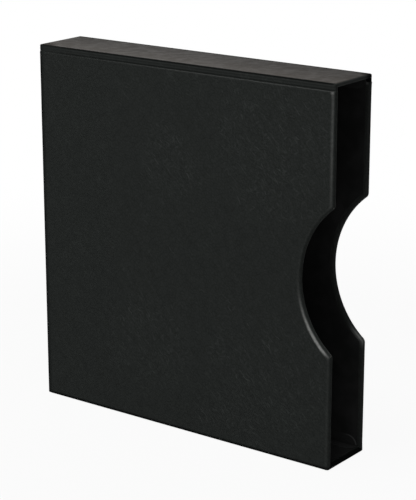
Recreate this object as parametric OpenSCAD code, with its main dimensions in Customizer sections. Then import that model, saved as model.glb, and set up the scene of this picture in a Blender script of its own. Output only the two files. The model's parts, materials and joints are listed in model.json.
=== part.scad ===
// Open-fronted slipcase for an album. Five greyboards make a box that is open
// on one narrow side. A leather-grained wrap covers both sides and the spine,
// a strip covers the top, and both are turned in round the mouth.
// Millimetres. The spine is at -X, the mouth at +X, the near side at -Y and
// the case stands on Z = 0, with the origin under its middle.

/* [Case] */
// Outside depth, from the spine to the mouth
case_depth = 304; // [220:1:380]
// Outside thickness, from the near side to the far side
case_thickness = 54; // [40:1:90]
// Outside height
case_height = 320; // [230:1:400]

/* [Boards and sheets] */
// Thickness of the greyboards
board_t = 3; // [2.4:0.1:4]
// Thickness of the leather-grained wrap
wrap_t = 0.6; // [0.45:0.05:0.8]
// Thickness of the top strip, which is skived thinner than the wrap
strip_t = 0.3; // [0.2:0.05:0.4]
// Thickness of the sheet that the case stands on
base_t = 0.4; // [0.2:0.05:1]
// Thickness of the lining where it laps over a turned-in cover
lining_t = 0.3; // [0.2:0.05:0.8]
// Thickness of the tapes in the inner corners
tape_t = 0.2; // [0.1:0.05:0.5]

/* [Edges] */
// Outside radius of the upright, top and bottom edges of the spine
spine_r = 3.5; // [2:0.1:4]
// Outside radius of the long edges that run from the spine to the mouth
edge_r = 1.8; // [1.2:0.1:2.8]

/* [Thumb notches] */
// Height of each notch, measured along the mouth
notch_height = 122; // [80:1:180]
// Depth of each notch, from the mouth to its deepest point
notch_depth = 30; // [15:1:39]

/* [Laps and margins] */
// Distance from the top to the upper edge of the side wrap
seam_drop = 6.5; // [4:0.5:15]
// How far the top strip goes on under the side wrap
lap = 5; // [2:0.5:10]
// Width of the covers turned in round the mouth and the notches
turn_in = 15; // [8:0.5:20]
// Width of the flaps of the side wrap under the case
flap_w = 12; // [8:0.5:16]
// Margin of turned-in cover left bare in front of the lining
lining_back = 4; // [2:0.5:6]
// Width of each leg of the inner corner tapes
tape_leg = 9; // [6:0.5:14]
// Margin between the bottom sheet and the edges of the case
base_margin = 2; // [1:0.5:4]

/* [Hidden] */
$fn = 96;
// Overshoot of a cutter past the faces that it cuts
over = 2;

// The box of bare boards: its faces lie one cover's thickness inside the case
spine_x = -case_depth / 2 + wrap_t;
mouth_x = case_depth / 2;
side_y = case_thickness / 2 - wrap_t;
floor_z = base_t + wrap_t;
roof_z = case_height - strip_t;

// The boards end at the mouth in a round nose on this centre line
nose_r = board_t / 2;
nose_x = mouth_x - wrap_t - nose_r;
nose_y = side_y - nose_r;

// Inner faces of the boards
cavity_x = spine_x + board_t;
cavity_y = side_y - board_t;
cavity_z0 = floor_z + board_t;
cavity_z1 = roof_z - board_t;

// Each notch is a segment of a circle, centred outside the mouth
notch_r = (pow(notch_height / 2, 2) + pow(notch_depth, 2)) / (2 * notch_depth);
notch_x = mouth_x - notch_depth + notch_r;
notch_z = case_height / 2;
notch_core = notch_r + wrap_t + nose_r;

// Faces of the linings, which lie level over the turned-in covers
lining_x = cavity_x + lining_t;
lining_y = cavity_y - wrap_t - lining_t;
lining_z0 = cavity_z0 + wrap_t + lining_t;
lining_z1 = cavity_z1 - strip_t - lining_t;
lining_front = mouth_x - lining_back;

// Level of the seam and of the lower edge of the strip under the wrap
seam_z = case_height - seam_drop;
lap_z = seam_z - lap;

wrap_colour = [0.13, 0.14, 0.14];
strip_colour = [0.16, 0.16, 0.15];
board_colour = [0.55, 0.52, 0.47];
lining_colour = [0.05, 0.05, 0.05];
tape_colour = [0.09, 0.09, 0.09];

// Box between two opposite corners
module box(low, high) {
    translate(low)
        cube(high - low);
}

// What a radius takes off the lower left corner of a square
module corner_waste(r) {
    difference() {
        translate([-over, -over])
            square(r + over);
        translate([r, r])
            circle(r);
    }
}

// Rectangle with one radius at its low end and another at its high end
module rounded_rect(low, high, low_r, high_r) {
    corners = [[low.x, low.y, low_r], [high.x, low.y, high_r],
               [high.x, high.y, high_r], [low.x, high.y, low_r]];
    difference() {
        translate(low)
            square(high - low);
        for (i = [0 : 3])
            translate([corners[i][0], corners[i][1]])
                rotate(90 * i)
                    corner_waste(corners[i][2]);
    }
}

// An outline drawn in X and Z, made into a prism along Y
module across(half_width) {
    rotate([90, 0, 0])
        linear_extrude(2 * half_width, center = true)
            children();
}

// An outline drawn in Y and Z, made into a prism along X
module lengthwise(start, end) {
    translate([start, 0, 0])
        rotate([90, 0, 90])
            linear_extrude(end - start)
                children();
}

// Upright prism of the whole case seen from above
module plan_block(grow) {
    translate([0, 0, -over])
        linear_extrude(case_height + 2 * over)
            rounded_rect([spine_x - grow, -side_y - grow],
                         [nose_x + nose_r + grow, side_y + grow],
                         spine_r - wrap_t + grow, nose_r + grow);
}

// Prism of the whole case seen from its near side
module side_block(grow) {
    across(case_thickness)
        rounded_rect([spine_x - grow, floor_z - grow],
                     [nose_x + nose_r + grow, roof_z + grow],
                     spine_r - wrap_t + grow, nose_r + grow);
}

// Waste along the four long edges
module long_edge_waste(grow) {
    r = edge_r - wrap_t + grow;
    corners = [[-side_y - grow, floor_z - grow], [side_y + grow, floor_z - grow],
               [side_y + grow, roof_z + grow], [-side_y - grow, roof_z + grow]];
    lengthwise(spine_x - over, mouth_x + over)
        for (i = [0 : 3])
            translate(corners[i])
                rotate(90 * i)
                    corner_waste(r);
}

// Waste of the notches in both sides, which leaves a round nose on each
module notch_waste(grow) {
    translate([notch_x, 0, notch_z])
        rotate([90, 0, 0])
            rotate_extrude($fn = 180)
                difference() {
                    translate([0, -case_thickness])
                        square([notch_core, 2 * case_thickness]);
                    for (y = [-nose_y, nose_y])
                        translate([notch_core, y])
                            circle(nose_r + grow);
                }
}

// Outline from above of one side wall, at +Y
module side_wall_plan(grow) {
    translate([spine_x - grow, nose_y - nose_r - grow])
        square([nose_x - spine_x + grow, board_t + 2 * grow]);
    translate([nose_x, nose_y])
        circle(nose_r + grow);
}

// Outline from the side of the roof wall
module roof_wall_side(grow) {
    translate([spine_x - grow, roof_z - board_t - grow])
        square([nose_x - spine_x + grow, board_t + 2 * grow]);
    translate([nose_x, roof_z - nose_r])
        circle(nose_r + grow);
}

// Outline from the side of the floor wall
module floor_wall_side(grow) {
    translate([spine_x - grow, floor_z - grow])
        square([nose_x - spine_x + grow, board_t + 2 * grow]);
    translate([nose_x, floor_z + nose_r])
        circle(nose_r + grow);
}

// The whole open box, with its edges rounded and its notches cut
module shell(grow) {
    difference() {
        intersection() {
            union() {
                translate([0, 0, floor_z - grow])
                    linear_extrude(roof_z - floor_z + 2 * grow) {
                        side_wall_plan(grow);
                        mirror([0, 1])
                            side_wall_plan(grow);
                    }
                across(side_y + grow) {
                    roof_wall_side(grow);
                    floor_wall_side(grow);
                }
                box([spine_x - grow, -side_y - grow, floor_z - grow],
                    [cavity_x + grow, side_y + grow, roof_z + grow]);
            }
            plan_block(grow);
            side_block(grow);
        }
        long_edge_waste(grow);
        notch_waste(grow);
    }
}

// Space inside the boards where no cover is turned in
module unturned_space() {
    difference() {
        box([cavity_x, -cavity_y, cavity_z0], [mouth_x - turn_in, cavity_y, cavity_z1]);
        notch_drum(notch_r + turn_in);
    }
}

// Drum on the axis of the notches
module notch_drum(r) {
    translate([notch_x, 0, notch_z])
        rotate([90, 0, 0])
            cylinder(h = 2 * case_thickness, r = r, center = true, $fn = 180);
}

// The part of the bare box between two corners
module board(low, high) {
    color(board_colour)
        intersection() {
            shell(0);
            box(low, high);
        }
}

module near_board() {
    board([-case_depth, -case_thickness, 0], [case_depth, -cavity_y, case_height]);
}

module far_board() {
    board([-case_depth, cavity_y, 0], [case_depth, case_thickness, case_height]);
}

module spine_board() {
    board([-case_depth, -cavity_y, cavity_z0], [cavity_x, cavity_y, cavity_z1]);
}

module top_board() {
    board([-case_depth, -cavity_y, cavity_z1], [case_depth, cavity_y, case_height]);
}

module bottom_board() {
    board([-case_depth, -cavity_y, 0], [case_depth, cavity_y, cavity_z0]);
}

// Zone of the outer layer under the floor that the flaps leave free
module between_flaps(start, end) {
    half = case_thickness / 2 - flap_w;
    box([start, -half, 0], [end, half, floor_z]);
}

// Zone of the strip that binds the mouth edge of the floor
module floor_mouth_zone() {
    half = cavity_y - wrap_t;
    between_flaps(mouth_x - flap_w, nose_x);
    box([nose_x, -half, 0], [mouth_x + over, half, cavity_z0 + wrap_t]);
    box([mouth_x - turn_in, -half, cavity_z0], [nose_x, half, cavity_z0 + wrap_t]);
}

module side_wrap() {
    color(wrap_colour)
        difference() {
            shell(wrap_t);
            shell(0);
            unturned_space();
            floor_mouth_zone();
            between_flaps(-case_depth / 2 + flap_w, mouth_x - flap_w);
            box([-case_depth, -case_thickness, seam_z],
                [case_depth, case_thickness, case_height + over]);
            intersection() {
                shell(strip_t);
                box([-case_depth, -case_thickness, lap_z],
                    [case_depth, case_thickness, seam_z + over]);
            }
        }
}

module top_strip() {
    color(strip_colour)
        difference() {
            shell(strip_t);
            shell(0);
            unturned_space();
            box([-case_depth, -case_thickness, -over], [case_depth, case_thickness, lap_z]);
        }
}

module bottom_mouth_strip() {
    color(wrap_colour)
        difference() {
            intersection() {
                shell(wrap_t);
                floor_mouth_zone();
            }
            shell(0);
        }
}

module bottom_filler() {
    color(board_colour)
        box([-case_depth / 2 + flap_w, -case_thickness / 2 + flap_w, base_t],
            [mouth_x - flap_w, case_thickness / 2 - flap_w, floor_z]);
}

module bottom_sheet() {
    half = [case_depth / 2 - base_margin, case_thickness / 2 - base_margin];
    color(strip_colour)
        linear_extrude(base_t)
            rounded_rect(-half, half, base_margin, base_margin);
}

// Room that a turned-in cover takes behind the lining of the far side
module turned_in_room(thickness, low_z, high_z) {
    intersection() {
        box([cavity_x - over, cavity_y - thickness, low_z], [mouth_x, cavity_y + over, high_z]);
        union() {
            box([mouth_x - turn_in, 0, 0], [mouth_x + over, case_thickness, case_height]);
            notch_drum(notch_r + turn_in);
        }
    }
}

module side_lining() {
    color(lining_colour)
        difference() {
            box([cavity_x, lining_y, cavity_z0], [lining_front, cavity_y, cavity_z1]);
            notch_drum(notch_r + lining_back);
            turned_in_room(wrap_t, floor_z, seam_z);
            turned_in_room(strip_t, lap_z, case_height);
            box([mouth_x - turn_in, 0, 0], [mouth_x, case_thickness, cavity_z0 + wrap_t]);
            box([mouth_x - turn_in, 0, cavity_z1 - strip_t],
                [mouth_x, case_thickness, case_height]);
        }
}

module near_lining() {
    mirror([0, 1, 0])
        side_lining();
}

module far_lining() {
    side_lining();
}

module spine_lining() {
    color(lining_colour)
        box([cavity_x, -lining_y, lining_z0], [lining_x, lining_y, lining_z1]);
}

module top_lining() {
    color(lining_colour)
        difference() {
            box([cavity_x, -lining_y, lining_z1], [lining_front, lining_y, cavity_z1]);
            box([mouth_x - turn_in, -case_thickness, cavity_z1 - strip_t],
                [mouth_x, case_thickness, cavity_z1 + over]);
        }
}

module bottom_lining() {
    color(lining_colour)
        difference() {
            box([cavity_x, -lining_y, cavity_z0], [lining_front, lining_y, lining_z0]);
            box([mouth_x - turn_in, -case_thickness, cavity_z0 - over],
                [mouth_x, case_thickness, cavity_z0 + wrap_t]);
        }
}

// One flat leg along X, whose outer corner at the mouth end is cut round
module tape_leg_outline() {
    difference() {
        square([lining_front - lining_x, tape_leg]);
        translate([lining_front - lining_x, tape_leg])
            rotate(180)
                corner_waste(tape_leg - tape_t);
    }
}

// Tape that starts at the origin and runs along X in the corner of -Y and -Z
module long_tape() {
    color(tape_colour) {
        linear_extrude(tape_t)
            tape_leg_outline();
        translate([0, tape_t, 0])
            rotate([90, 0, 0])
                linear_extrude(tape_t)
                    tape_leg_outline();
    }
}

// Tape of a given length that runs along Z in the corner of -X and -Y
module short_tape(length) {
    color(tape_colour)
        linear_extrude(length) {
            square([tape_leg, tape_t]);
            square([tape_t, tape_leg]);
        }
}

module near_bottom_tape() {
    translate([lining_x, -lining_y, lining_z0])
        long_tape();
}

module far_bottom_tape() {
    mirror([0, 1, 0])
        near_bottom_tape();
}

module near_top_tape() {
    translate([lining_x, -lining_y, lining_z1])
        mirror([0, 0, 1])
            long_tape();
}

module far_top_tape() {
    mirror([0, 1, 0])
        near_top_tape();
}

module near_spine_tape() {
    translate([lining_x, -lining_y, lining_z0 + tape_leg])
        short_tape(lining_z1 - lining_z0 - 2 * tape_leg);
}

module far_spine_tape() {
    mirror([0, 1, 0])
        near_spine_tape();
}

module bottom_spine_tape() {
    translate([lining_x, lining_y - tape_leg, lining_z0])
        rotate([90, 0, 0])
            short_tape(2 * (lining_y - tape_leg));
}

module top_spine_tape() {
    translate([0, 0, lining_z0 + lining_z1])
        mirror([0, 0, 1])
            bottom_spine_tape();
}

near_board();
far_board();
spine_board();
top_board();
bottom_board();
side_wrap();
top_strip();
bottom_mouth_strip();
bottom_filler();
bottom_sheet();
near_lining();
far_lining();
spine_lining();
top_lining();
bottom_lining();
near_bottom_tape();
far_bottom_tape();
near_top_tape();
far_top_tape();
near_spine_tape();
far_spine_tape();
top_spine_tape();
bottom_spine_tape();
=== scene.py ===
import json
import math

import bpy
import numpy as np
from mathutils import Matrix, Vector, noise


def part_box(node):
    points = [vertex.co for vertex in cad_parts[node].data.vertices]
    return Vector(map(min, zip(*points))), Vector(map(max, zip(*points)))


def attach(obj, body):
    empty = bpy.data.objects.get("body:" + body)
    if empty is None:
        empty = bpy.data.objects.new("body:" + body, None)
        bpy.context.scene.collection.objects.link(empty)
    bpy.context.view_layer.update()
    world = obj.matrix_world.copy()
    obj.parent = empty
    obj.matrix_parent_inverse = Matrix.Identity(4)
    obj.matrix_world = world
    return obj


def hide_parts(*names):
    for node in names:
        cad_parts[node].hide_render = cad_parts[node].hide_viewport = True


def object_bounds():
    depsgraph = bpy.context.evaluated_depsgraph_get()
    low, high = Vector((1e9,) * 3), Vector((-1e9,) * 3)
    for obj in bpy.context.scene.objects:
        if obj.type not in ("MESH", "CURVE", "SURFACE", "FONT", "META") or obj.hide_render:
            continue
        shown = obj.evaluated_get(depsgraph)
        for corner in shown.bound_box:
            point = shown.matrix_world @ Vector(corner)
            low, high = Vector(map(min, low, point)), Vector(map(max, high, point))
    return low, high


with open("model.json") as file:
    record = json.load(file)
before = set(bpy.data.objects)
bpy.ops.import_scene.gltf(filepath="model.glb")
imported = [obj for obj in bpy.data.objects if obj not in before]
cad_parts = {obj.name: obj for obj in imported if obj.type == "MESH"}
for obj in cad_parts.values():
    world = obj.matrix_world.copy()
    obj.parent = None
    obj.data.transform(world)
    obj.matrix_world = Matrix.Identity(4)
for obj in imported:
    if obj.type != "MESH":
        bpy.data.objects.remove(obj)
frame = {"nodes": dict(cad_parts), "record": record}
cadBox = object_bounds()

mm = 0.001

# The camera stands to the right of the near side, and looks a little down on it and into the mouth
cameraPlace = {
    "position": (0.8689, -1.155, 0.5768),
    "azimuth": 36.63,          # degrees round from straight in front of the near side
    "elevation": 16.26,        # degrees that it looks down
    "focalPixels": 1773,       # focal length in pixels of the 416 x 500 picture
    "pictureHeight": 500,
    "sensor": 36,              # in millimetres
}

# Shape of the covered case that the boards themselves don't say
caseShape = {
    "notchHeight": 122 * mm,
    "notchDepth": 30 * mm,
    "spineRadius": 3.5 * mm,   # outside radius of the spine's edges
    "longRadius": 1.8 * mm,    # outside radius of the long edges
    "softCorner": 4.2 * mm,    # rounding where a notch meets the mouth
    "softRows": 4,             # rows of faces round that corner
    "turnIn": 15 * mm,
    "flap": 12 * mm,
    "fadeOfRadius": 14 * mm,   # stretch over which the long edges soften next to the mouth
    "mouthCorner": 0.1,        # how much fuller than a ball the corners at the mouth are
}


def putInScene(name, data):
    made = bpy.data.objects.new(name, data)
    bpy.context.scene.collection.objects.link(made)
    return made


def placeCamera(place):
    azimuth, elevation = math.radians(place["azimuth"]), math.radians(place["elevation"])
    back = Vector((math.sin(azimuth) * math.cos(elevation),
                   -math.cos(azimuth) * math.cos(elevation),
                   math.sin(elevation)))
    data = bpy.data.cameras.new("viewCamera")
    data.sensor_width = place["sensor"]
    data.lens = place["focalPixels"] * place["sensor"] / place["pictureHeight"]
    camera = putInScene("viewCamera", data)
    camera.location = place["position"]
    camera.rotation_mode = "QUATERNION"
    camera.rotation_quaternion = (-back).to_track_quat("-Z", "Y")
    bpy.context.scene.camera = camera


placeCamera(cameraPlace)
print("stage: camera placed")


# Sizes that every cover shares, read from the boards that it is glued to
wrapLow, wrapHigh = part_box("side_wrap")
stripLow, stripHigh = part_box("top_strip")
boardLow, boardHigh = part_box("near_board")
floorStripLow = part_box("bottom_mouth_strip")[0]
boardThick = boardHigh.y - boardLow.y
wrapThick = boardLow.y - wrapLow.y
stripThick = stripHigh.z - boardHigh.z
mouthX = boardHigh.x + wrapThick
notchZ = (cadBox[0].z + cadBox[1].z) / 2
notchHalf, notchDepth = caseShape["notchHeight"] / 2, caseShape["notchDepth"]
notchR = (notchHalf ** 2 + notchDepth ** 2) / (2 * notchDepth)
notchX = mouthX - notchDepth + notchR


def coverSection(thick):
    # Places of a cover's outer face, seen from above, for a cover of this thickness
    spineR = caseShape["spineRadius"] - wrapThick + thick
    return {
        "noseR": boardThick / 2 + thick,
        "noseX": boardHigh.x - boardThick / 2,
        "noseY": -boardLow.y - boardThick / 2,
        "outY": thick - boardLow.y,
        "inY": -boardHigh.y - thick,
        "backX": boardLow.x - thick,
        "flatX": boardLow.x - thick + spineR,
        "spineR": spineR,
        "longR": caseShape["longRadius"] - wrapThick + thick,
    }


def smoothStep(x):
    x = np.clip(x, 0, 1)
    return x * x * (3 - 2 * x)


def edgeRadius(section, x):
    # The long edges are tight and grow a little softer towards the mouth
    nearMouth = 1 - smoothStep((section["noseX"] - x) / caseShape["fadeOfRadius"])
    return section["longR"] + (section["noseR"] - section["longR"]) * nearMouth


def mouthLine(section, top, bottom, step):
    # Rows down the mouth edge: centre of the round nose and the direction that it faces, in X and Z
    noseR, soft = section["noseR"], caseShape["softCorner"]
    softX = mouthX - soft
    softZ = math.sqrt((notchR + soft) ** 2 - (notchX - softX) ** 2)
    turn = math.atan2(softZ, notchX - softX)
    rows = []

    def straight(start, end):
        for z in np.linspace(start, end, max(2, math.ceil((start - end) / step) + 1)):
            rows.append((section["noseX"], z, 1, 0))

    def softTurn(z, start, end):
        for angle in np.linspace(start, end, caseShape["softRows"] + 2)[1:-1]:
            face = math.cos(angle), math.sin(angle)
            rows.append((softX + (soft - noseR) * face[0], z + (soft - noseR) * face[1], *face))

    straight(top, notchZ + softZ)
    softTurn(notchZ + softZ, 0, -turn)
    reach = notchR + noseR
    for angle in np.linspace(math.pi - turn, math.pi + turn, math.ceil(2 * turn * reach / step)):
        face = -math.cos(angle), -math.sin(angle)
        rows.append((notchX - reach * face[0], notchZ - reach * face[1], *face))
    softTurn(notchZ - softZ, turn, 0)
    straight(notchZ - softZ, bottom)
    return np.array(rows)


def turnInX(z):
    # Where the turned-in edge of a side cover ends, behind the lining
    reach = notchR + caseShape["turnIn"]
    inside = np.clip(reach ** 2 - (z - notchZ) ** 2, 0, None)
    return np.minimum(mouthX - caseShape["turnIn"], notchX - np.sqrt(inside))


def halfColumns(section, steps):
    # Columns from the turned-in edge, round the nose, along the near side to the middle of the spine
    nose = np.linspace(math.pi, 0, steps["nose"] + 1)
    corner = np.linspace(0, math.pi / 2, steps["corner"] + 1)[1:]
    cornerY = section["outY"] - section["spineR"]
    spine = np.linspace(-cornerY, 0, steps["halfSpine"] + 1)[1:]
    return {
        "turn": np.linspace(0, 1, steps["turnIn"] + 1)[:-1],
        "nose": nose,
        "soft": np.linspace(0, steps["softWide"], steps["soft"] + 1)[1:],
        "face": np.linspace(0, 1, steps["face"] + 1)[1:],
        "corner": corner,
        "spine": spine,
        "cornerY": cornerY,
        "crest": steps["turnIn"] + steps["nose"] // 2,
        "facing": np.concatenate((
            np.zeros((steps["turnIn"], 2)),
            np.stack((np.sin(nose), -np.cos(nose)), 1),
            np.tile((0.0, -1.0), (steps["soft"] + steps["face"], 1)),
            np.stack((-np.sin(corner), -np.cos(corner)), 1),
            np.tile((-1.0, 0.0), (steps["halfSpine"], 1)))),
    }


def halfRow(section, columns, row):
    # Points of one row, and where each lies on the sheet before it was folded
    centreX, z, faceX, faceZ = row
    turnX = turnInX(z)
    nose, noseR, flatX = columns["nose"], section["noseR"], section["flatX"]
    turnXs = turnX + columns["turn"] * (centreX - turnX)
    softX = centreX - columns["soft"][-1]
    faceXs = np.concatenate((centreX - columns["soft"], softX + columns["face"] * (flatX - softX)))
    spine, corner, spineR = columns["spine"], columns["corner"], section["spineR"]
    x = np.concatenate((
        turnXs,
        centreX + noseR * np.sin(nose) * faceX,
        faceXs,
        flatX - spineR * np.sin(corner),
        np.full(len(spine), section["backX"])))
    y = np.concatenate((
        np.full(len(turnXs), -section["inY"]),
        -section["noseY"] - noseR * np.cos(nose),
        np.full(len(faceXs), -section["outY"]),
        -columns["cornerY"] - spineR * np.cos(corner),
        spine))
    lift = np.concatenate((
        np.zeros(len(turnXs)),
        noseR * np.sin(nose) * faceZ,
        np.zeros(len(faceXs) + len(corner) + len(spine))))
    outward = noseR * nose
    flatU = np.concatenate((
        -(centreX + math.pi * noseR * faceX) - (centreX - turnXs),
        -(centreX + outward * faceX),
        -faceXs,
        -flatX + spineR * corner,
        -flatX + spineR * math.pi / 2 + spine + columns["cornerY"]))
    flatV = z + np.concatenate((
        np.full(len(turnXs), math.pi * noseR * faceZ),
        outward * faceZ,
        np.zeros(len(faceXs) + len(corner) + len(spine))))
    return np.stack((x, y, z + lift), 1), np.stack((flatU, flatV), 1)


def rising(value, start, over):
    return np.clip((value - start) / over, 0, 1)


def falling(value, end, over):
    return np.clip((end - value) / over, 0, 1)


def near(gap, reach):
    return 1 - np.clip(gap / reach, 0, 1)


def closingRadii(section, columns, x):
    # For each column: radius of the edge that closes it, and depth at which its straight part ends
    count = len(columns["turn"])
    noses = len(columns["nose"])
    faces = len(columns["soft"]) + len(columns["face"])
    corners = len(columns["corner"])
    afterFaces = count + noses + faces
    afterCorners = afterFaces + corners
    radius = np.full(len(x), section["spineR"])
    radius[:count + noses] = section["noseR"]
    radius[count + noses:afterFaces] = edgeRadius(section, x[count + noses:afterFaces])
    radius[afterFaces:afterCorners] = np.linspace(section["longR"], section["spineR"], corners + 1)[1:]
    depth = radius.copy()
    depth[:count] = 2 * section["noseR"]
    inner = np.cos(columns["nose"]) < 0
    depth[count:count + noses][inner] = section["noseR"] * (1 - np.cos(columns["nose"][inner]))
    return radius, depth


def cornerDome(section, columns, angles):
    # Where a spine edge, a long edge and the roof or floor edge meet
    # The points are measured from the corner's centre
    big, small = section["spineR"], section["longR"]
    rise = big - small
    u = np.linspace(0, 1, len(columns["corner"]) + 1)[:, None]
    v = np.linspace(0, 1, len(angles))[None]
    turn, climb = u * math.pi / 2, np.array(angles)[None]
    zero = u * v * 0

    def curve(x, y, z):
        return np.stack((x + zero, y + zero, z + zero), 2)

    longEdge = curve(0, rise + small * np.cos(climb), rise + small * np.sin(climb))
    endEdge = curve(big * np.cos(climb), 0, big * np.sin(climb))
    spineEdge = curve(big * np.sin(turn), big * np.cos(turn), rise * (1 - u))
    flatEdge = curve(0, rise * (1 - u), big)
    a, b = u[..., None], v[..., None]
    ends = ((1 - a) * (1 - b) * np.array((0, big, rise)) + a * (1 - b) * np.array((big, 0, 0))
            + (1 - a) * b * np.array((0, rise, big)) + a * b * np.array((0, 0, big)))
    dome = (1 - a) * longEdge + a * endEdge + (1 - b) * spineEdge + b * flatEdge - ends
    x, y, z = dome[..., 0], dome[..., 1], dome[..., 2]
    square = y * y + z * z
    slope = rise * (y + z)
    root = np.sqrt(np.clip(slope ** 2 - square * (2 * rise ** 2 - small ** 2), 0, None))
    reach = (slope + root) / square
    onLongEdge = (reach * y > rise) & (reach * z > rise)
    tiny = 1e-9
    grow = np.minimum(big / np.maximum(np.hypot(x, y), tiny), big / np.maximum(np.hypot(x, z), tiny))
    grow = np.where(onLongEdge, np.minimum(grow, reach), grow)
    return dome * grow[..., None]


def wallPatches(section, steps, rows, closeZ, side):
    # The upright walls of a cover down (side 1) or up (side -1) to the level closeZ, and the edge there
    columns = halfColumns(section, steps)
    points, flats = map(list, zip(*(halfRow(section, columns, row) for row in rows)))
    last, lastFlat = points[-1], flats[-1]
    radius, depth = closingRadii(section, columns, last[:, 0])
    endZ = closeZ + side * depth
    for share in np.linspace(0, 1, steps["blend"] + 1)[1:]:
        moved, flat = last.copy(), lastFlat.copy()
        moved[:, 2] += share * (endZ - last[:, 2])
        flat[:, 1] += share * (endZ - last[:, 2])
        points.append(moved)
        flats.append(flat)
    crest = columns["crest"]
    end, endFlat = points[-1][crest:], flats[-1][crest:]
    facing, radius = columns["facing"][crest:], radius[crest:]
    angles = np.linspace(0, math.pi / 2, steps["nose"] // 2 + 1)
    dome = cornerDome(section, columns, angles)
    firstCorner = len(columns["nose"]) // 2 + 1 + len(columns["soft"]) + len(columns["face"])
    corners = slice(firstCorner, firstCorner + len(columns["corner"]))
    noses = slice(0, len(columns["nose"]) // 2 + 1)
    # The corners at the mouth are fuller than a ball, most where they face all three ways alike
    # 27 brings the product of the three squares up to 1 there
    fullest = caseShape["mouthCorner"] * 27
    roundPoints, roundFlats = [], []
    for k, angle in enumerate(angles):
        moved, flat = end.copy(), endFlat.copy()
        out, up = radius * (math.cos(angle) - 1), radius * math.sin(angle)
        full = (fullest * np.prod(facing[noses] ** 2, 1)
                * math.cos(angle) ** 4 * math.sin(angle) ** 2)
        out[noses] += full * radius[noses] * math.cos(angle)
        up[noses] *= 1 + full
        moved[:, :2] += facing * out[:, None]
        moved[:, 2] -= side * up
        moved[corners, 0] = section["flatX"] - dome[1:, k, 0]
        moved[corners, 1] = -columns["cornerY"] - dome[1:, k, 1]
        moved[corners, 2] = closeZ + side * (section["spineR"] - dome[1:, k, 2])
        flat[:, 1] -= side * radius * angle
        roundPoints.append(moved)
        roundFlats.append(flat)
    return columns, (np.array(points), np.array(flats)), (np.array(roundPoints), np.array(roundFlats))


def bothSides(patch):
    # A half patch that ends in the middle of the spine, and its mirror image on the far side
    points, flats = patch
    mirrored, mirroredFlat = points[:, -2::-1].copy(), flats[:, -2::-1].copy()
    mirrored[..., 1] *= -1
    mirroredFlat[..., 0] = 2 * flats[:, -1:, 0] - mirroredFlat[..., 0]
    return np.concatenate((points, mirrored), 1), np.concatenate((flats, mirroredFlat), 1)


def roofPatch(section, columns, closeZ):
    # The flat of the roof, from the spine's edge to the start of the round nose at the mouth
    softX = section["noseX"] - columns["soft"][-1]
    x = np.concatenate(([section["noseX"]], section["noseX"] - columns["soft"],
                        softX + columns["face"] * (section["flatX"] - softX)))
    outer = section["outY"] - edgeRadius(section, x)
    along = (x - section["flatX"]) / (section["noseX"] - section["flatX"])
    inner = columns["cornerY"] + (section["noseY"] - columns["cornerY"]) * along
    half = columns["spine"] / columns["cornerY"]
    middle = np.concatenate(([-1], half, -half[-2::-1], [1]))
    edge = np.linspace(0, 1, len(columns["corner"]) + 1)[1:]
    rims = inner[:, None] + (outer - inner)[:, None] * edge
    y = np.concatenate((-rims[:, ::-1], inner[:, None] * middle, rims), 1)
    wide = np.ones(y.shape[1])
    points = np.stack((x[:, None] * wide, y, np.full(y.shape, closeZ)), 2)
    return points[::-1], np.stack((x[:, None] * wide, y), 2)[::-1]


def mouthNosePatch(section, steps, closeZ, side, shares):
    # From the flat round the nose at the mouth and back in as far as the turned-in edge
    noseR, noseX, noseY = section["noseR"], section["noseX"], section["noseY"]
    nose = np.linspace(0, math.pi, steps["nose"] + 1)
    turn = np.linspace(1, 0, steps["turnIn"] + 1)[1:]
    turnEnd = mouthX - caseShape["turnIn"]
    x = np.concatenate((noseX + noseR * np.sin(nose), turnEnd + turn * (noseX - turnEnd)))
    depth = np.concatenate((noseR * (1 - np.cos(nose)), np.full(len(turn), 2 * noseR)))
    wide = np.concatenate((noseY + noseR * np.minimum(np.cos(nose), 0), np.full(len(turn), section["inY"])))
    along = noseX + np.concatenate(([0], np.cumsum(np.hypot(np.diff(x), np.diff(depth)))))
    y = wide[:, None] * shares[None]
    level = np.ones(len(shares))
    points = np.stack((x[:, None] * level, y, (closeZ + side * depth)[:, None] * level), 2)
    return points, np.stack((along[:, None] * level, y), 2)


def softUnevenness(flat, size, seed):
    # Slow swelling of glued leather, from 0 to 1
    return np.array([0.5 + 0.5 * noise.noise((u / size, v / size, seed)) for u, v in flat])


def joinPatches(patches):
    # All the patches as one list of points, flat places and four-sided faces
    allPoints, allFlats, faces, start = [], [], [], 0
    for (points, flats), flipped in patches:
        rows, across = points.shape[:2]
        index = start + np.arange(rows * across).reshape(rows, across)
        corners = index[:-1, :-1], index[:-1, 1:], index[1:, 1:], index[1:, :-1]
        quads = np.stack(corners, 2).reshape(-1, 4)
        faces.append(quads[:, ::-1] if flipped else quads)
        allPoints.append(points.reshape(-1, 3))
        allFlats.append(flats.reshape(-1, 2))
        start += rows * across
    return np.concatenate(allPoints), np.concatenate(allFlats), np.concatenate(faces)


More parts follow.
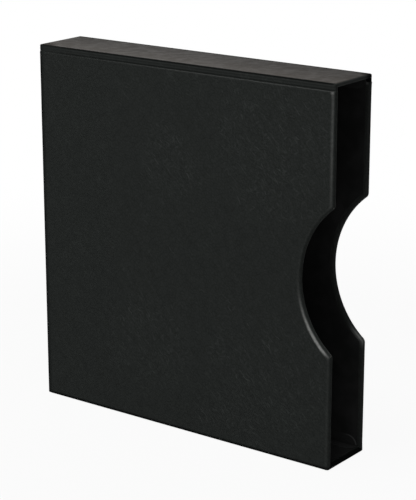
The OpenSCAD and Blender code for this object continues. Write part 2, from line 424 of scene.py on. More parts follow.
def solidLoops(faces, flats, welded, count):
    # Outer faces, the same faces turned over for the glued side, and the cut edges between them
    loops, flatLoops, edges = [], [], {}
    for face in faces:
        ring = []
        for corner in face:
            if not ring or (welded[corner] != welded[ring[-1]] and welded[corner] != welded[ring[0]]):
                ring.append(corner)
        if len(ring) < 3:
            continue
        verts = [int(welded[corner]) for corner in ring]
        loops.append(verts)
        flatLoops.append([flats[corner] for corner in ring])
        for k, vert in enumerate(verts):
            after = (k + 1) % len(verts)
            edges[(vert, verts[after])] = (flats[ring[k]], flats[ring[after]])
    skins = len(loops)
    for k in range(skins):
        loops.append([vert + count for vert in reversed(loops[k])])
        flatLoops.append(list(reversed(flatLoops[k])))
    for (a, b), (flatA, flatB) in edges.items():
        if (b, a) not in edges:
            loops.append([b, a, a + count, b + count])
            flatLoops.append([flatB, flatA, flatA, flatB])
    return loops, flatLoops


def evenly(depth):
    # A thickness or a relief that is the same all over the sheet
    return lambda points, *flat: np.full(len(points), float(depth))


def sheetPiece(name, patches, thicknessAt, reliefAt, wearAndPaintedLightAt):
    # A closed solid sheet: the outer face with its relief, the glued face under it, and cut edges
    points, flats, faces = joinPatches(patches)
    weldSize = 2e-6
    cells = np.round(points / weldSize)
    _, first, welded = np.unique(cells, axis=0, return_index=True, return_inverse=True)
    welded = welded.reshape(-1)
    place, placeFlat = points[first], flats[first]
    corners = place[welded[faces]]
    faceNormals = np.cross(corners[:, 2] - corners[:, 0], corners[:, 3] - corners[:, 1])
    normals = np.zeros_like(place)
    for corner in range(4):
        np.add.at(normals, welded[faces[:, corner]], faceNormals)
    tiny = 1e-20
    normals /= np.maximum(np.linalg.norm(normals, axis=1), tiny)[:, None]
    outer = place - normals * reliefAt(place, placeFlat)[:, None]
    inner = place - normals * thicknessAt(place)[:, None]
    loops, flatLoops = solidLoops(faces, flats, welded, len(place))
    mesh = bpy.data.meshes.new(name)
    mesh.from_pydata(np.concatenate((outer, inner)).tolist(), [], loops)
    layer = mesh.uv_layers.new(name="sheet")
    flatPlaces = np.concatenate([np.array(ring) for ring in flatLoops])
    layer.data.foreach_set("uv", flatPlaces.astype(np.float32).ravel())
    # The wear attribute holds painted highlights and some rubbing above 0, and painted shade below 0
    wearAndPaintedLight = mesh.attributes.new("wearAndPaintedLight", "FLOAT", "POINT")
    share = wearAndPaintedLightAt(place)
    wearAndPaintedLight.data.foreach_set("value", np.concatenate((share, share)).astype(np.float32))
    mesh.update()
    mesh.shade_smooth()
    piece = putInScene(name, mesh)
    edgeAngle = 50
    mesh.set_sharp_from_angle(angle=math.radians(edgeAngle))
    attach(piece, "root")
    return piece


# The side wrap: one leather sheet round both sides and the spine
wrapMake = {
    "steps": {"turnIn": 5, "nose": 12, "soft": 13, "softWide": 8.5 * mm,
              "face": 94, "corner": 6, "halfSpine": 10, "blend": 6},
    "rowStep": 2.7 * mm,
    "blendFrom": 12 * mm,      # height above the floor where the rows begin to follow the bottom edge
    "flapRows": 6,
    "lapHeight": 5 * mm,       # height of the upper band that lies over the top strip
    "leastLap": 0.01 * mm,     # no hollow goes deeper than to this much of the sheet there
    "unevenDepth": 0.07 * mm,
    "unevenSize": 17 * mm,
    "unevenSeed": 3.7,
    "evenInside": 0.3 * mm,    # the turned-in edge is even, up to this far from its inner face
    "cutRound": 0.28 * mm,     # radius of the cut upper edge
    "cutRows": (0.015 * mm, 0.05 * mm, 0.1 * mm, 0.17 * mm, 0.28 * mm, 0.6 * mm, 1.4 * mm),
    "cutFade": 3 * mm,         # the sheet is pulled flat next to that edge
    "softDrop": 0.45 * mm,     # the sheet falls away towards the mouth and the notches by this much
    "softReach": 5.4 * mm,     # beginning this far from them
    "dropAtFloor": (2 * mm, 8 * mm),  # height where that begins, and the stretch over which it grows
    "dropAtSeam": (0.45, 20 * mm),    # its share at the seam, and how fast it grows below
    # Painted highlights where the wrap's rounded edges catch the light, a worn spot, and painted shade on
    # edges turned from the light
    # A pair of lengths is a place and the stretch over which something grows or fades
    "paintedLightAndRubbing": {
        "outside": 1.5 * mm,       # the painted highlight and rubbing outside fade into the opening over this
        # A painted highlight along the mouth and the notches, where their rounded edges catch the light
        "line": (2.7 * mm, 1.8 * mm),     # its distance from them and half its width
        "mouthLine": (0.035, 0.16),       # its strength low on the mouth, and what is added high up
        "highUp": (0.60, 0.25),           # where that begins and over what it grows, as shares of the height
        "notchLine": (0.02, 1.55),        # its strength high in the notch, and what is added lower down
        "lowerDown": (15 * mm, 70 * mm),  # where that begins above the notch's middle
        "lowerPower": 2.9,
        "notchFrom": 2 * mm,       # further from the mouth than the line by this, it is the notch's line
        "notchEnd": (66 * mm, 9 * mm),    # where it ends below the notch's middle
        # The same painted highlight on the inner face of the turned-in edge
        "innerLine": (1.3 * mm, 1.7 * mm),
        "innerSpot": 58 * mm,      # its palest place, below the notch's middle
        "innerSpots": ((0.8, 9 * mm), (0.12, 35 * mm)),  # strength and half length, close by and around
        "innerFace": (0.07, 12 * mm),     # painted light falling in at the mouth: strength all over, and its reach from the mouth
        # A worn spot on the near bottom edge, and a painted highlight under the seam at the mouth
        "bottomSpot": (-56 * mm, 7 * mm),  # its middle and half its length
        "bottomSpotHigh": 1.8 * mm,
        "bottomSpotPale": 0.42,
        "seamHighlight": (3.2 * mm, 1.0 * mm, 2.2 * mm),  # distance from the mouth, from the seam, and size
        "seamHighlightStrength": 0.75,
        "cutHighlight": (0.02, 0.13),   # painted highlight on the cut upper edge: at the spine, and what is added towards the mouth
        "cutAlong": 250 * mm,      # over this length
        "cutHigh": 0.9 * mm,
        # Painted shade on the rounded edges at the mouth, the spine and the bottom
        "mouthShaded": (0.4 * mm, 1.5 * mm),  # full painted shade up to here from the mouth, and none from there on
        "mouthPaintedShade": 0.04,
        "spineBack": (5.2 * mm, 2.8 * mm),  # painted shade on the spine's edges, measured from the back and from the side
        "spineSide": (2.8 * mm, 1.2 * mm),
        "spinePaintedShade": 0.85,
        # painted shade along the bottom edge: where it ends, and the stretch over which it fades
        "bottomEdgeShade": (2.7 * mm, 1 * mm),
    },
}


def mouthGap(points):
    # How far each point lies from the mouth or from a notch, measured along the side
    x, z = points[:, 0], points[:, 2]
    return np.minimum(mouthX - x, np.hypot(x - notchX, z - notchZ) - notchR)


def wrapWearAndPaintedLight(section, make):
    # Painted highlights and rubbing on each place, from 0 to 1, and below 0 how much painted shade it has
    def lineOutside(x, z, gap):
        height = np.clip((z - wrapLow.z) / (wrapHigh.z - wrapLow.z), 0, 1)
        (lineAt, lineHalf), (lowDown, highUp) = make["line"], make["mouthLine"]
        (faint, added), (above, over) = make["notchLine"], make["lowerDown"]
        (start, rise), (endAt, endOver) = make["highUp"], make["notchEnd"]
        atNotch = mouthX - x > lineAt + make["notchFrom"]
        lower = smoothStep((notchZ + above - z) / over)
        end = smoothStep((z - notchZ + endAt) / endOver) ** 2
        strength = np.where(atNotch, faint, lowDown + highUp * smoothStep((height - start) / rise))
        strength = strength + added * lower ** make["lowerPower"] * end
        return near(np.abs(gap - lineAt), lineHalf) * strength

    def lineInside(z, gap):
        (lineAt, lineHalf), (faint, reach) = make["innerLine"], make["innerFace"]
        fromSpot = np.abs(z - notchZ + make["innerSpot"])
        strength = sum(strong * near(fromSpot, half) for strong, half in make["innerSpots"])
        return np.maximum(near(np.abs(gap - lineAt), lineHalf) * strength, faint * near(gap, reach))

    # A worn spot on the near bottom edge, and the painted highlight where the seam meets the mouth
    def wornSpotAndSeamHighlight(x, y, z):
        middle, half = make["bottomSpot"]
        bottom = near(z - wrapLow.z, make["bottomSpotHigh"]) * near(np.abs(x - middle), half) * (y < 0)
        fromMouth, fromSeam, size = make["seamHighlight"]
        toSeamHighlight = np.hypot(mouthX - fromMouth - x, wrapHigh.z - fromSeam - z)
        return bottom * make["bottomSpotPale"], near(toSeamHighlight, size) * make["seamHighlightStrength"]

    def share(points):
        x, y, z = points.T
        gap = mouthGap(points)
        toBack, toSide = x - section["backX"], section["outY"] - np.abs(y)
        outside = rising(np.abs(y), section["inY"], make["outside"])
        inside = (np.abs(y) < section["noseY"]) & (x > section["flatX"])
        bottomSpot, seamHighlight = wornSpotAndSeamHighlight(x, y, z)
        (faint, added), (shadedTo, fades) = make["cutHighlight"], make["mouthShaded"]
        cut = near(wrapHigh.z - z, make["cutHigh"]) * (faint + added * smoothStep(toBack / make["cutAlong"]))
        # Painted highlights and a worn spot above 0, painted shade on the edges below 0
        rubbedAndHighlit = np.maximum.reduce((lineOutside(x, z, gap) * outside, lineInside(z, gap) * inside,
                                    bottomSpot, seamHighlight, cut * (gap > fades)))
        mouth = near(gap - shadedTo, fades - shadedTo) * make["mouthPaintedShade"]
        spine = falling(toBack, *make["spineBack"])
        spine = spine * np.minimum(falling(toSide, *make["spineSide"]), make["spinePaintedShade"])
        floor = falling(z - wrapLow.z, *make["bottomEdgeShade"]) * (1 - bottomSpot)
        return np.clip(rubbedAndHighlit, 0, 1) - np.maximum.reduce((mouth, spine, floor))
    return share


def makeSideWrap(make):
    section = coverSection(wrapThick)
    top, bottom = wrapHigh.z, wrapLow.z
    rows = mouthLine(section, top, bottom + make["blendFrom"], make["rowStep"])
    rounding = [(section["noseX"], top - d, 1, 0) for d in make["cutRows"]]
    rows = np.concatenate((rows[:1], rounding, rows[1:]))
    columns, wall, edge = wallPatches(section, make["steps"], rows, bottom, 1)
    sideFlap, spineFlap = flapPatches(section, columns, edge, make["flapRows"])
    patches = [(bothSides(wall), False), (bothSides(edge), False), (sideFlap, False),
               (mirrorPatch(sideFlap), True), (spineFlap, False)]

    def thickness(points):
        slack = 1e-7
        onStrip = points[:, 2] > top - make["lapHeight"] + slack
        return np.where(onStrip, wrapThick - stripThick, wrapThick)

    def relief(points, flat):
        y, z = np.abs(points[:, 1]), points[:, 2]
        depth = make["unevenDepth"] * softUnevenness(flat, make["unevenSize"], make["unevenSeed"])
        depth[(y < section["inY"] + make["evenInside"]) & (points[:, 0] > 0)] = 0
        below = top - z
        noseR, gap = section["noseR"], mouthGap(points)
        fall = falling(gap, make["softReach"], make["softReach"] - noseR) ** 2
        rounded = np.sqrt(1 - (1 - np.clip(gap / noseR, 0, 1)) ** 2)
        (start, over), (atSeam, grows) = make["dropAtFloor"], make["dropAtSeam"]
        ends = np.clip((z - bottom - start) / over, 0, 1) * np.clip(atSeam + below / grows, 0, 1)
        depth += make["softDrop"] * fall * rounded * ends * (y > section["noseY"])
        short = np.clip(make["cutRound"] - below, 0, None)
        cut = make["cutRound"] - np.sqrt(make["cutRound"] ** 2 - short ** 2)
        deepest = wrapThick - stripThick - make["leastLap"]
        return np.minimum(depth * np.clip(below / make["cutFade"], 0, 1) + cut, deepest)

    return sheetPiece("leatherWrap", patches, thickness, relief, wrapWearAndPaintedLight(section, make["paintedLightAndRubbing"]))


def mirrorPatch(patch):
    points, flats = patch
    return points * (1, -1, 1), flats * (-1, 1)


def flapPatches(section, columns, edge, count):
    # The flaps glued under the case, mitred where those of a side and of the spine meet
    points, flats = edge
    last, lastFlat = points[-1], flats[-1]
    faceStart = len(columns["nose"]) // 2
    faceEnd = faceStart + len(columns["soft"]) + len(columns["face"]) + 1
    spineStart = faceEnd - 1 + len(columns["corner"])
    shares = np.linspace(0, 1, count + 1)[:, None]

    def widened(edgeLine, edgeFlat, axis, depth):
        flap, flapFlat = np.repeat(edgeLine[None], count + 1, 0), np.repeat(edgeFlat[None], count + 1, 0)
        flap[..., axis] += shares * np.maximum(depth, 0)
        flapFlat[..., 1] -= shares * np.maximum(depth, 0)
        return flap, flapFlat

    side = last[faceStart:faceEnd]
    mitre = side[:, 0] - section["flatX"] - columns["cornerY"]
    sideDepth = np.minimum(mitre, caseShape["flap"] - section["outY"]) - side[:, 1]
    spine, spineFlat = bothSides((last[None, spineStart:], lastFlat[None, spineStart:]))
    mitre = columns["cornerY"] - np.abs(spine[0, :, 1])
    spineDepth = np.minimum(mitre, caseShape["flap"] - section["spineR"])
    return (widened(side, lastFlat[faceStart:faceEnd], 1, sideDepth),
            widened(spine[0], spineFlat[0], 0, spineDepth))


leatherWrap = makeSideWrap(wrapMake)
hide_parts("side_wrap")
print("stage: side wrap", len(leatherWrap.data.polygons), "faces")


# The top strip: covers the roof, turned down over the sides and in round the mouth
# A pair is a place and the stretch over which it fades or grows
stripMake = {
    "steps": {"turnIn": 5, "nose": 12, "soft": 4, "softWide": 6 * mm,
              "face": 146, "corner": 6, "halfSpine": 12, "blend": 19},
    "rowsUnderWrap": 4,
    "unevenDepth": 0.05 * mm,
    "unevenSize": 13 * mm,
    "unevenSeed": 8.2,
    "unevenOnTop": (0.3, 9 * mm),     # its share on the roof, and how fast it grows below
    "evenInside": 0.2 * mm,    # the turned-in edge is even, up to this far from its inner face
    # Board edges show through the band above the seam: depth below the top, how far the strip lies in there,
    # and its painted highlight (above 0) or painted shade (below 0)
    "band": (
        (0, 0, -0.2),
        (0.5 * mm, 0.04 * mm, -0.9),
        (1.2 * mm, 0.22 * mm, -0.8),
        (1.7 * mm, 0.12 * mm, -0.1),
        (2.2 * mm, 0, 0.05),
        (2.8 * mm, 0.14 * mm, 0),
        (3.6 * mm, 0.20 * mm, -0.15),
        (4.8 * mm, 0.04 * mm, 0.014),
        (5.7 * mm, 0.26 * mm, -0.5),
        (6.5 * mm, 0.12 * mm, -0.1),
    ),
    "bandFade": 40 * mm,       # the band grows faint over this stretch next to the spine
    "bandAtSpine": 0.35,       # its share of painted light and shade there
    "bandSide": (1.0 * mm, 0.5 * mm),
    "roofDepth": 1 * mm,       # what lies less deep than this belongs to the roof
    "rim": (2.2 * mm, 2.0 * mm),      # a painted line along the roof's rims: distance from the side, half width
    "rimPaintedLight": (0.10, -0.45),        # painted highlight on the near rim, painted shade on the far rim
    "mouthTone": 0.10,         # the roof darkens by this much towards the mouth
    "noseShaded": (1.3 * mm, 4.0 * mm),  # full painted shade on the mouth edge up to here, and none from there on
    "nosePaintedLight": (0.08, 0.22),        # painted shade outside, and how much painted highlight lightens it underneath
    "noseUnder": (1.9 * mm, 0.8 * mm),
    "noseFront": (1.6 * mm, 0.6 * mm),
    # painted shade on the spine's edges
    "spinePaintedShade": 0.8,
    "spineReach": (1.0 * mm, 4.5 * mm),
    "farCorner": (5 * mm, 6 * mm),    # painted shade on the roof's corner at the far side of the mouth
    "nearCorner": (26 * mm, 21 * mm),  # painted shade on the roof's corner at the spine: size along the roof and across it
    "nearCornerShade": 0.5,
    "nearCornerFade": (0.35, 0.65),
}


def makeTopStrip(make):
    section = coverSection(stripThick)
    top, seam = stripHigh.z, wrapHigh.z
    steps = make["steps"]
    levels = np.linspace(stripLow.z, seam, make["rowsUnderWrap"])
    rows = np.array([(section["noseX"], z, 1, 0) for z in levels])
    columns, wall, edge = wallPatches(section, steps, rows, top, -1)
    roof = roofPatch(section, columns, top)
    nose = mouthNosePatch(section, steps, top, -1, np.linspace(-1, 1, 2 * steps["halfSpine"] + 1))
    patches = [(bothSides(wall), True), (bothSides(edge), True), (roof, True), (nose, True)]
    bandDepths, bandReliefs, bandPaintedLight = np.array(make["band"]).T

    def relief(points, flat):
        x, y = points[:, 0], np.abs(points[:, 1])
        below = top - points[:, 2]
        depth = make["unevenDepth"] * softUnevenness(flat, make["unevenSize"], make["unevenSeed"])
        onSide = np.clip((y - section["outY"] + section["longR"]) / section["longR"], 0, 1)
        along = smoothStep((x - section["flatX"]) / make["bandFade"])
        onTop, grows = make["unevenOnTop"]
        depth = depth * np.clip(below / grows + onTop, 0, 1)
        depth += np.interp(below, bandDepths, bandReliefs) * onSide * along
        depth[(x > 0) & (y < section["inY"] + make["evenInside"]) & (below > section["noseR"])] = 0
        return depth

    # Painted light and shade of the band, the rims, the mouth edge, the spine's edges and the corners, and a
    # roof darker towards the mouth
    def wearAndPaintedLight(points):
        x, y, z = points.T
        below, toMouth, toBack = top - z, mouthX - x, x - section["backX"]
        fromSide = section["outY"] - np.abs(y)
        onRoof = below < make["roofDepth"]
        along = smoothStep((x - section["flatX"]) / make["bandFade"])
        band = np.interp(below, bandDepths, bandPaintedLight) * falling(fromSide, *make["bandSide"])
        band = band * (make["bandAtSpine"] + (1 - make["bandAtSpine"]) * along)
        (rimAt, rimHalf), (nearRim, farRim) = make["rim"], make["rimPaintedLight"]
        rim = np.where(y < 0, nearRim, farRim) * near(np.abs(fromSide - rimAt), rimHalf) * onRoof
        paler = rim - onRoof * make["mouthTone"] * smoothStep(x / mouthX)
        (shadedTo, fades), (outside, under) = make["noseShaded"], make["nosePaintedLight"]
        nose = 1 - rising(toMouth, shadedTo, fades - shadedTo)
        inner = rising(below, *make["noseUnder"]) * falling(toMouth, *make["noseFront"])
        spine = 1 - rising(toBack, *make["spineReach"])
        farCorner = 1 - rising(np.hypot(toMouth, section["outY"] - y), *make["farCorner"])
        long, wide = make["nearCorner"]
        toCorner = toBack / long + (section["outY"] + y) / wide
        start, over = make["nearCornerFade"]
        nearCorner = make["nearCornerShade"] * onRoof * (1 - smoothStep((toCorner - start) / over))
        mouthPaintedShade = nose * (outside - under * inner)
        spinePaintedShade = make["spinePaintedShade"] * spine * (1 - onRoof)
        darker = np.maximum.reduce((mouthPaintedShade, spinePaintedShade, nearCorner, farCorner))
        return np.clip((band + paler) * (1 - nose) - darker, -1, 1)

    return sheetPiece("leatherTopStrip", patches, evenly(stripThick), relief, wearAndPaintedLight)


leatherTopStrip = makeTopStrip(stripMake)
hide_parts("top_strip")
print("stage: top strip", len(leatherTopStrip.data.polygons), "faces")


# The strip that binds the mouth edge of the floor
floorStripMake = {
    "steps": {"turnIn": 5, "nose": 12},
    "sideSteps": 6,            # across the floor on either side of its leg
    "underHalf": 15 * mm,      # half the width of its leg under the case
    "legSteps": 18,
    "underSteps": 5,
    "shadedTo": (2 * mm, 3 * mm),  # full painted shade up to this far from the mouth, and less over this stretch
}


def makeFloorStrip(make):
    section = coverSection(wrapThick)
    legShare = make["underHalf"] / section["noseY"]
    sides, leg = make["sideSteps"], make["legSteps"]
    shares = np.concatenate((np.linspace(-1, -legShare, sides + 1),
                             np.linspace(-legShare, legShare, leg + 1)[1:],
                             np.linspace(legShare, 1, sides + 1)[1:]))
    nose = mouthNosePatch(section, make["steps"], floorStripLow.z, 1, shares)
    legX = np.linspace(mouthX - caseShape["flap"], section["noseX"], make["underSteps"] + 1)
    legY = shares[sides:sides + leg + 1] * section["noseY"]
    legFlat = np.stack(np.meshgrid(legX, legY, indexing="ij"), 2)
    legPoints = np.concatenate((legFlat, np.full(legFlat.shape[:2] + (1,), floorStripLow.z)), 2)

    # Painted shade round the mouth edge of the floor
    def wearAndPaintedLight(points):
        return -1 + rising(mouthX - points[:, 0], *make["shadedTo"])

    patches = [(nose, False), ((legPoints, legFlat), False)]
    return sheetPiece("leatherFloorStrip", patches, evenly(wrapThick), evenly(0), wearAndPaintedLight)


leatherFloorStrip = makeFloorStrip(floorStripMake)
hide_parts("bottom_mouth_strip")
print("stage: floor strip", len(leatherFloorStrip.data.polygons), "faces")


# Small helpers for the finishes
def emptyTree(owner, kind):
    owner.use_nodes = True
    tree = owner.node_tree
    tree.nodes.clear()
    return tree, tree.nodes.new("ShaderNodeOutput" + kind)


def newFinish(name):
    finish = bpy.data.materials.new(name)
    tree, output = emptyTree(finish, "Material")
    shader = tree.nodes.new("ShaderNodeBsdfPrincipled")
    tree.links.new(shader.outputs["BSDF"], output.inputs["Surface"])
    return finish, tree, shader


def setInputs(tree, node, inputs):
    for key, value in inputs.items():
        if isinstance(value, bpy.types.NodeSocket):
            tree.links.new(value, node.inputs[key])
        else:
            node.inputs[key].default_value = value


def addNode(tree, kind, inputs=None, **settings):
    made = tree.nodes.new("ShaderNode" + kind)
    for key, value in settings.items():
        setattr(made, key, value)
    setInputs(tree, made, inputs or {})
    return made


def maths(tree, operation, first, second=None, third=None):
    values = {k: v for k, v in enumerate((first, second, third)) if v is not None}
    return addNode(tree, "Math", values, operation=operation).outputs[0]


def spread(tree, value, low, high, newLow=0.0, newHigh=1.0, smooth=True):
    return addNode(tree, "MapRange", {"Value": value, "From Min": low, "From Max": high,
                                      "To Min": newLow, "To Max": newHigh},
                   interpolation_type="SMOOTHSTEP" if smooth else "LINEAR").outputs["Result"]


def blendColour(tree, share, first, second):
    return addNode(tree, "Mix", {0: share, 6: first, 7: second}, data_type="RGBA").outputs[2]


def greatest(tree, values):
    most = values[0]
    for value in values[1:]:
        most = maths(tree, "MAXIMUM", most, value)
    return most


def scaled(tree, vector, factor):
    return addNode(tree, "VectorMath", {0: vector, "Scale": factor}, operation="SCALE").outputs["Vector"]


def vectorMaths(tree, operation, first, second, output="Vector"):
    return addNode(tree, "VectorMath", {0: first, 1: second}, operation=operation).outputs[output]


def lengthOf(tree, vector):
    return addNode(tree, "VectorMath", {0: vector}, operation="LENGTH").outputs["Value"]


def turnedBack(tree, place, degrees):
    turn = (0, 0, -math.radians(degrees))
    return addNode(tree, "Mapping", {"Vector": place, "Rotation": turn}).outputs["Vector"]


def noiseAt(tree, place, scale, detail, roughness=0.5, output="Fac"):
    return addNode(tree, "TexNoise", {"Vector": place, "Scale": scale, "Detail": detail,
                                      "Roughness": roughness}).outputs[output]


def facingUp(tree):
    return addNode(tree, "SeparateXYZ", {0: addNode(tree, "NewGeometry").outputs["Normal"]}).outputs["Z"]


def paintedShadeOnFloor(tree, share):
    # Painted shade: 1 on the walls, and this share on what faces up inside the case
    return spread(tree, facingUp(tree), 0.5, 0.9, 1.0, share)


def placeOnCase(tree):
    # The place on the case in metres, and in millimetres
    place = addNode(tree, "TexCoord").outputs["Object"]
    return place, scaled(tree, place, 1000.0)


def addBump(tree, depth, height):
    return addNode(tree, "Bump", {"Distance": depth, "Height": height}).outputs["Normal"]


# Sizes of patterns are in millimetres, and the scales of noises per millimetre
leatherLook = {
    # Pale colour of the painted highlights and of rubbed places
    "wornAndHighlit": (0.330, 0.335, 0.325, 1),
    "wornAndHighlitShares": (0.72, 1.0),  # the painted highlights and rubbing are patchy between these shares
    "wornAndHighlitPatches": 0.35,
    "paintedShadeTone": 0.20,               # tone of the painted shade on edges against the rest
    "roughness": (0.56, 0.44),  # between the swellings and on them
    "highlitAndRubbedShine": 0.15,       # how much smoother the leather is under painted highlights and rubbing
    "paintedShadeMatt": 0.48,          # and how much rougher where the shade is painted
    "wobble": (0.16, 4.0),     # noise that pulls the pattern about, and how far
    "pebble": 2.7,             # size of a pebble of the grain
    "pebbleStretch": (0.7, 1.15, 1),
    "swell": 0.16,             # noise of the slow swelling
    "fine": 1.6,               # and of the pores
    "slant": 46,               # degrees that pebbles and creases lean from level
    "creaseStretch": (0.05, 0.36, 1),
    "creaseHalf": 0.03,
    # Where the sheet was stretched and creased: place on the unrolled sheet and size, in metres
    "creasedSpots": (((-0.095, 0.265), 0.085), ((-0.085, 0.060), 0.085), ((0.010, 0.235), 0.045),
                     ((0.030, 0.075), 0.060)),
    "creasedCore": 0.35,       # share of a spot that is creased most
    "creasedClouds": (0.03, 0.45),    # noise of fainter creased patches elsewhere, and their strength
    "creasedShare": 0.75,
    # Marks by kind: slant in degrees, how short and how thin they are, density, and how rare (to 1)
    "nicks": {"kinds": ((62, 0.20, 0.85, 0.24, 0.72), (22, 0.22, 0.9, 0.22, 0.72),
                        (-38, 0.30, 0.9, 0.20, 0.72)),
              "half": 0.21, "chosen": 0.04, "elsewhere": 0.2},
    "hairs": {"kinds": ((44, 0.055, 1, 0.30, 0.90), (57, 0.09, 1, 0.30, 0.90), (33, 0.13, 1, 0.30, 0.90),
                        (72, 0.16, 1, 0.30, 0.92)),
              "half": 0.12, "chosen": 0.02, "elsewhere": 0.25},
    "markCore": 0.04,
    "heights": (2.2, 0.9, 0.5, 0.4, 0.5),  # of swelling, crease, nick, hair line and pores, in pebbles
    "paleCrease": 0.44,
    "paleHair": 1.0,
}


wrapLook = {
    "colour": (0.0239, 0.0265, 0.0250),
    "fadedAndLitTopColour": (0.0239, 0.0265, 0.0250),
    "topPaintedLight": (1, 1),       # painted light on what faces up: its tone at the near side and at the far side
    "gloss": 0.01,
    "tones": (0.82, 1.20),     # tone of the hollows and of the heights
    "grainDepth": 0.065 * mm,
    "shift": (0, 0, 0),        # part of the pattern that it shows
}
stripLook = {
    "colour": (0.0225, 0.0250, 0.0236),
    # Colour of what faces up: faded, and paler and warmer as painted light from above
    "fadedAndLitTopColour": (0.0350, 0.0312, 0.0275),
    "topPaintedLight": (1.25, 0.55),
    "gloss": 0.02,
    "tones": (0.94, 1.06),
    "grainDepth": 0.02 * mm,
    "shift": (37.0, 0, 114.7),
}


def markLines(tree, place, look, core, creased):
    # Thin marks, one in each of the few chosen cells that are drawn out along a slant
    marks = []
    for slant, short, thin, density, rare in look["kinds"]:
        drawn = vectorMaths(tree, "MULTIPLY", turnedBack(tree, place, slant), (short, thin, 1))
        cells = addNode(tree, "TexVoronoi", {"Vector": drawn, "Scale": density}, voronoi_dimensions="2D")
        picked = addNode(tree, "SeparateColor", {"Color": cells.outputs["Color"]}).outputs[0]
        line = spread(tree, cells.outputs["Distance"], look["half"], core)
        chosen = spread(tree, picked, rare, rare + look["chosen"])
        marks.append(maths(tree, "MULTIPLY", line, chosen))
    share = maths(tree, "MULTIPLY_ADD", creased, 1 - look["elsewhere"], look["elsewhere"])
    return maths(tree, "MULTIPLY", greatest(tree, marks), share)


def creasedShare(tree, flat, moved, look):
    spots = []
    for (u, v), size in look["creasedSpots"]:
        away = vectorMaths(tree, "DISTANCE", flat, (u, v, 0), "Value")
        spots.append(spread(tree, away, size, size * look["creasedCore"]))
    scale, strength = look["creasedClouds"]
    clouds = maths(tree, "MULTIPLY", spread(tree, noiseAt(tree, moved, scale, 2.0), 0.45, 0.7), strength)
    return maths(tree, "MULTIPLY_ADD", greatest(tree, spots), look["creasedShare"], clouds)


def leatherFinish(name, look, own):
    finish, tree, shader = newFinish(name)
    flat = addNode(tree, "UVMap", uv_map="sheet").outputs["UV"]
    moved = vectorMaths(tree, "ADD", scaled(tree, flat, 1000.0), own["shift"])
    scale, reach = look["wobble"]
    pull = noiseAt(tree, moved, scale, 2.0, output="Color")
    wobble = vectorMaths(tree, "SUBTRACT", pull, (0.5, 0.5, 0.5))
    bent = vectorMaths(tree, "ADD", moved, scaled(tree, wobble, reach))

    # Pebbled grain, a little longer along the slant than across it
    slanted = turnedBack(tree, bent, look["slant"])
    grain = vectorMaths(tree, "MULTIPLY", slanted, look["pebbleStretch"])
    pebbles = addNode(tree, "TexVoronoi", {"Vector": grain, "Scale": 1 / look["pebble"]},
                      feature="DISTANCE_TO_EDGE", voronoi_dimensions="2D").outputs["Distance"]
    swell = noiseAt(tree, grain, look["swell"], 3.0, 0.6)
    fine = noiseAt(tree, moved, look["fine"], 3.0)

    # Long creases and short marks, mostly where the sheet was stretched
    creased = creasedShare(tree, flat, moved, look)
    drawn = vectorMaths(tree, "MULTIPLY", slanted, look["creaseStretch"])
    creaseNoise = noiseAt(tree, drawn, 1.0, 2.0, 0.6)
    ridge = maths(tree, "ABSOLUTE", maths(tree, "SUBTRACT", creaseNoise, 0.5))
    crease = maths(tree, "MULTIPLY", spread(tree, ridge, look["creaseHalf"], 0.0), creased)
    nick = markLines(tree, bent, look["nicks"], look["markCore"], creased)
    hair = markLines(tree, bent, look["hairs"], look["markCore"], creased)
    height = spread(tree, pebbles, 0.0, 0.25)
    for layer, share in zip((swell, crease, nick, hair, fine), look["heights"]):
        height = maths(tree, "MULTIPLY_ADD", layer, share, height)

    # The top has faded and carries painted light; the edges carry painted highlights, painted shade and some
    # rubbing
    wearAndPaintedLight = addNode(tree, "Attribute", attribute_name="wearAndPaintedLight").outputs["Fac"]
    rubbedAndHighlit = maths(tree, "MAXIMUM", wearAndPaintedLight, 0.0)
    patches = noiseAt(tree, moved, look["wornAndHighlitPatches"], 4.0)
    wornAndHighlit = maths(tree, "MULTIPLY", rubbedAndHighlit, spread(tree, patches, 0.35, 0.65, *look["wornAndHighlitShares"]))
    across = addNode(tree, "SeparateXYZ", {0: addNode(tree, "TexCoord").outputs["Object"]}).outputs["Y"]
    fadedAndLitTop = scaled(tree, own["fadedAndLitTopColour"], spread(tree, across, wrapLow.y, wrapHigh.y, *own["topPaintedLight"]))
    onTop = spread(tree, facingUp(tree), 0.75, 0.98)
    colour = blendColour(tree, onTop, own["colour"] + (1,), fadedAndLitTop)
    tone = spread(tree, height, 0.9, 2.6, *own["tones"], smooth=False)
    tone = maths(tree, "MULTIPLY_ADD", maths(tree, "MAXIMUM", crease, nick), look["paleCrease"], tone)
    tone = maths(tree, "MULTIPLY_ADD", hair, look["paleHair"], tone)
    # Painted shade below 0 darkens the colour
    tone = maths(tree, "MULTIPLY", tone, spread(tree, wearAndPaintedLight, -1.0, 0.0, look["paintedShadeTone"], 1.0, smooth=False))
    rough = spread(tree, swell, 0.35, 0.65, *look["roughness"])
    rough = maths(tree, "SUBTRACT", rough, maths(tree, "MULTIPLY", rubbedAndHighlit, look["highlitAndRubbedShine"]))
    rough = maths(tree, "ADD", rough, spread(tree, wearAndPaintedLight, -1.0, 0.0, look["paintedShadeMatt"], 0.0, smooth=False))
    # Above 0 the pale colour of painted highlights and rubbing is blended in
    setInputs(tree, shader, {
        "Base Color": blendColour(tree, wornAndHighlit, scaled(tree, colour, tone), look["wornAndHighlit"]),
        "Roughness": rough,
        "Specular IOR Level": own["gloss"],
        "Normal": addBump(tree, own["grainDepth"], height),
    })
    return finish


